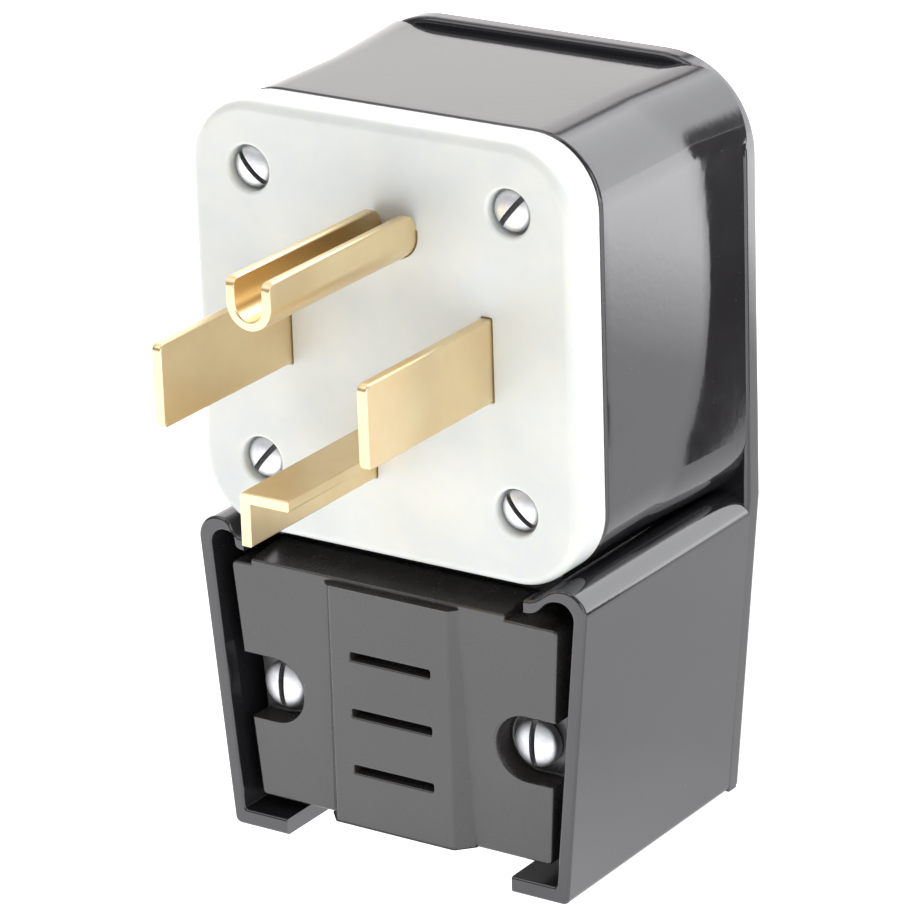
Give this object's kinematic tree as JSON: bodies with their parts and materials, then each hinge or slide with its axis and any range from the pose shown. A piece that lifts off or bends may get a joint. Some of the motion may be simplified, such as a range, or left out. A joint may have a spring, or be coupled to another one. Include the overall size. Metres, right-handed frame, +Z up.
{
  "type": "right-angle power plug",
  "caption": "Right-angle heavy-duty power plug: white face with straight, L and U brass blades, black moulded housing, cord clamp held by two screws.",
  "frame": {"origin": "bottom centre of the whole plug's box, standing on the foot of its cord entry", "axes": "+Z up, from the cord entry to the top of the face; -Y the way the blades point; +X to the right seen from the blades"},
  "size_m": [0.061, 0.0758, 0.1037],
  "materials": {
    "housing_black": "semi-gloss moulded black",
    "clamp_black": "satin moulded black",
    "face_white": "satin milky white, slightly translucent",
    "retainer_fibre": "matte brown insulating board",
    "blade_brass": "rolled and stamped, bright",
    "insert_brass": "turned",
    "screw_zinc": "bright zinc plate",
    "terminal_zinc": "zinc plate"
  },
  "bodies": {
    "shell": {"housing": "housing_black", "face_insert_bottom_left": "insert_brass", "face_insert_bottom_right": "insert_brass", "face_insert_top_left": "insert_brass", "face_insert_top_right": "insert_brass", "clamp_insert_left": "insert_brass", "clamp_insert_right": "insert_brass"},
    "face": {"face_plate": "face_white", "blade_retainer": "retainer_fibre", "hot_blade_left": "blade_brass", "hot_blade_right": "blade_brass", "neutral_blade": "blade_brass", "ground_blade": "blade_brass"},
    "clamp": {"cord_clamp": "clamp_black"},
    "face_screw_bottom_left_body": {"face_screw_bottom_left": "screw_zinc"},
    "face_screw_bottom_right_body": {"face_screw_bottom_right": "screw_zinc"},
    "face_screw_top_left_body": {"face_screw_top_left": "screw_zinc"},
    "face_screw_top_right_body": {"face_screw_top_right": "screw_zinc"},
    "clamp_screw_left_body": {"clamp_screw_left": "screw_zinc"},
    "clamp_screw_right_body": {"clamp_screw_right": "screw_zinc"},
    "terminal_plate_hot_left_body": {"terminal_plate_hot_left": "terminal_zinc"},
    "terminal_screw_hot_left_body": {"terminal_screw_hot_left": "terminal_zinc"},
    "terminal_plate_hot_right_body": {"terminal_plate_hot_right": "terminal_zinc"},
    "terminal_screw_hot_right_body": {"terminal_screw_hot_right": "terminal_zinc"},
    "terminal_plate_neutral_body": {"terminal_plate_neutral": "terminal_zinc"},
    "terminal_screw_neutral_body": {"terminal_screw_neutral": "terminal_zinc"},
    "terminal_plate_ground_body": {"terminal_plate_ground": "terminal_zinc"},
    "terminal_screw_ground_body": {"terminal_screw_ground": "terminal_zinc"}
  },
  "joints": [
    {"name": "face_slide", "type": "slide", "parent": "shell", "child": "face", "axis": [0, -1, 0], "range_m": [0, 0.011]},
    {"name": "clamp_slide", "type": "slide", "parent": "shell", "child": "clamp", "axis": [0, 1, 0], "range_m": [-0.003, 0.006]},
    {"name": "face_screw_bottom_left_turn", "type": "hinge", "parent": "face", "child": "face_screw_bottom_left_body", "pos_m": [-0.0198, -0.0059, 0.0535], "axis": [0, -1, 0], "range_deg": [0, 5000]},
    {"name": "face_screw_bottom_right_turn", "type": "hinge", "parent": "face", "child": "face_screw_bottom_right_body", "pos_m": [0.0198, -0.0059, 0.0535], "axis": [0, -1, 0], "range_deg": [0, 5000]},
    {"name": "face_screw_top_left_turn", "type": "hinge", "parent": "face", "child": "face_screw_top_left_body", "pos_m": [-0.0198, -0.0059, 0.0935], "axis": [0, -1, 0], "range_deg": [0, 5000]},
    {"name": "face_screw_top_right_turn", "type": "hinge", "parent": "face", "child": "face_screw_top_right_body", "pos_m": [0.0198, -0.0059, 0.0935], "axis": [0, -1, 0], "range_deg": [0, 5000]},
    {"name": "clamp_screw_left_turn", "type": "hinge", "parent": "clamp", "child": "clamp_screw_left_body", "pos_m": [-0.01985, -0.0047, 0.0203], "axis": [0, 1, 0], "range_deg": [-1365, 2730]},
    {"name": "clamp_screw_right_turn", "type": "hinge", "parent": "clamp", "child": "clamp_screw_right_body", "pos_m": [0.01985, -0.0047, 0.0203], "axis": [0, 1, 0], "range_deg": [-1365, 2730]},
    {"name": "terminal_plate_hot_left_slide", "type": "slide", "parent": "face", "child": "terminal_plate_hot_left_body", "axis": [0, 1, 0], "range_m": [0, 0.004]},
    {"name": "terminal_screw_hot_left_turn", "type": "hinge", "parent": "terminal_plate_hot_left_body", "child": "terminal_screw_hot_left_body", "pos_m": [-0.0194, 0.0181, 0.0735], "axis": [0, 1, 0], "range_deg": [0, 1820]},
    {"name": "terminal_plate_hot_right_slide", "type": "slide", "parent": "face", "child": "terminal_plate_hot_right_body", "axis": [0, 1, 0], "range_m": [0, 0.004]},
    {"name": "terminal_screw_hot_right_turn", "type": "hinge", "parent": "terminal_plate_hot_right_body", "child": "terminal_screw_hot_right_body", "pos_m": [0.0206, 0.0181, 0.0735], "axis": [0, 1, 0], "range_deg": [0, 1820]},
    {"name": "terminal_plate_neutral_slide", "type": "slide", "parent": "face", "child": "terminal_plate_neutral_body", "axis": [0, 1, 0], "range_m": [0, 0.004]},
    {"name": "terminal_screw_neutral_turn", "type": "hinge", "parent": "terminal_plate_neutral_body", "child": "terminal_screw_neutral_body", "pos_m": [0.00275, 0.0181, 0.0544], "axis": [0, 1, 0], "range_deg": [0, 1820]},
    {"name": "terminal_plate_ground_slide", "type": "slide", "parent": "face", "child": "terminal_plate_ground_body", "axis": [0, 1, 0], "range_m": [0, 0.004]},
    {"name": "terminal_screw_ground_turn", "type": "hinge", "parent": "terminal_plate_ground_body", "child": "terminal_screw_ground_body", "pos_m": [0.0026, 0.0181, 0.0944], "axis": [0, 1, 0], "range_deg": [0, 1820]}
  ],
  "couplings": [
    {"joint": "face_screw_bottom_left_turn", "follows": "face_slide", "rad_per_m": 7915.8},
    {"joint": "face_screw_bottom_right_turn", "follows": "face_slide", "rad_per_m": 7915.8},
    {"joint": "face_screw_top_left_turn", "follows": "face_slide", "rad_per_m": 7915.8},
    {"joint": "face_screw_top_right_turn", "follows": "face_slide", "rad_per_m": 7915.8},
    {"joint": "clamp_screw_left_turn", "follows": "clamp_slide", "rad_per_m": 7915.8},
    {"joint": "clamp_screw_right_turn", "follows": "clamp_slide", "rad_per_m": 7915.8},
    {"joint": "terminal_screw_hot_left_turn", "follows": "terminal_plate_hot_left_slide", "rad_per_m": 7915.8},
    {"joint": "terminal_screw_hot_right_turn", "follows": "terminal_plate_hot_right_slide", "rad_per_m": 7915.8},
    {"joint": "terminal_screw_neutral_turn", "follows": "terminal_plate_neutral_slide", "rad_per_m": 7915.8},
    {"joint": "terminal_screw_ground_turn", "follows": "terminal_plate_ground_slide", "rad_per_m": 7915.8}
  ]
}
